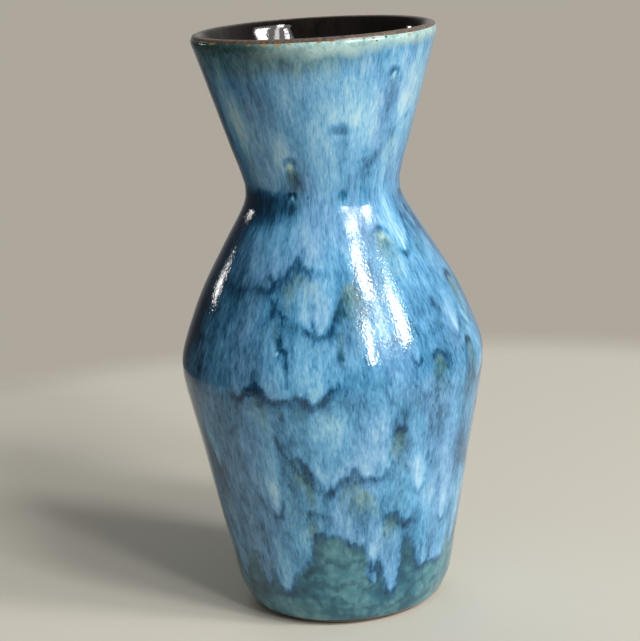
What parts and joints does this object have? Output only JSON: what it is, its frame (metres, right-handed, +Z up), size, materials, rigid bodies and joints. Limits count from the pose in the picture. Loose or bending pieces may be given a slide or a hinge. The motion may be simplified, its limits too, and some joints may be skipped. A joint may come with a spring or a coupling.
{
  "type": "bud vase",
  "caption": "Waisted ceramic bud vase: clay body with a flared rim, shouldered belly and turned foot, under outer and inner glaze coats.",
  "frame": {"origin": "on the vase's axis, in the plane of the foot ring it stands on", "axes": "+Z up along the axis through the mouth; the form is the same all round, and -Y is the front"},
  "size_m": [0.0784, 0.0784, 0.15],
  "materials": {
    "clay": "bare fired clay, matte",
    "blue_glaze": "glossy running blue glaze",
    "liner_glaze": "glossy dark brown glaze"
  },
  "bodies": {
    "root": {"clay_body": "clay", "outer_glaze": "blue_glaze", "inner_glaze": "liner_glaze"}
  },
  "joints": []
}
